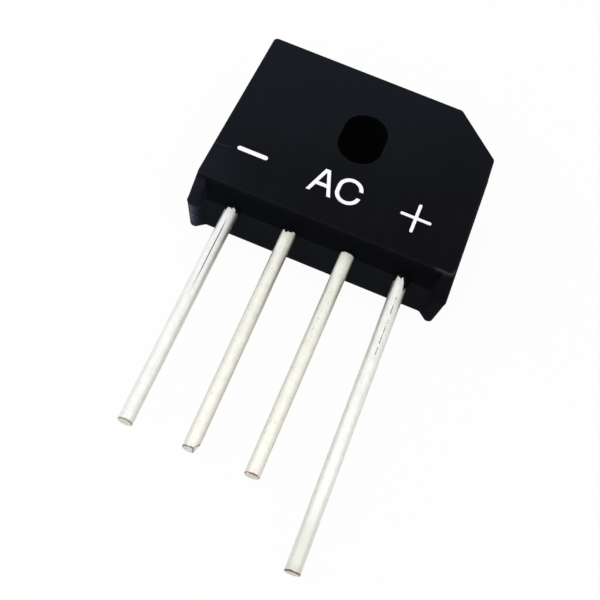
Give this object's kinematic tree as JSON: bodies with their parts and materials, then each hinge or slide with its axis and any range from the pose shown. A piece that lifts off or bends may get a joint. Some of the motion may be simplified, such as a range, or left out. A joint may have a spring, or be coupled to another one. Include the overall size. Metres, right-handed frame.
{
  "type": "bridge rectifier",
  "caption": "Flat moulded bridge rectifier with a cut corner, a mounting slot and round tinned leads, marked with polarity signs, that turns alternating into direct current",
  "frame": {"origin": "on the flat back face, in the middle of the mounting slot", "axes": "+Z out of the marked face, +Y from the leads to the far edge, +X from the minus lead to the plus lead"},
  "size_m": [0.023, 0.0429, 0.0069],
  "materials": {
    "black_epoxy": "fine matt moulding",
    "tinned_copper": "satin tin over copper",
    "copper": "bare copper",
    "silicon": "lapped silicon",
    "solder": "dull solder",
    "white_ink": "printed ink"
  },
  "bodies": {
    "root": {"moulded_body": "black_epoxy", "lead_minus": "tinned_copper", "lead_ac_1": "tinned_copper", "lead_ac_2": "tinned_copper", "lead_plus": "tinned_copper", "plate_minus": "copper", "plate_plus": "copper", "clip_ac_1": "copper", "clip_ac_2": "copper", "die_1": "silicon", "die_2": "silicon", "die_3": "silicon", "die_4": "silicon", "die_solder_1_lower": "solder", "die_solder_1_upper": "solder", "die_solder_2_lower": "solder", "die_solder_2_upper": "solder", "die_solder_3_lower": "solder", "die_solder_3_upper": "solder", "die_solder_4_lower": "solder", "die_solder_4_upper": "solder", "joint_minus": "solder", "joint_ac_1": "solder", "joint_ac_2": "solder", "joint_plus": "solder", "mark_minus": "white_ink", "mark_a": "white_ink", "mark_c": "white_ink", "mark_plus": "white_ink"}
  },
  "joints": []
}
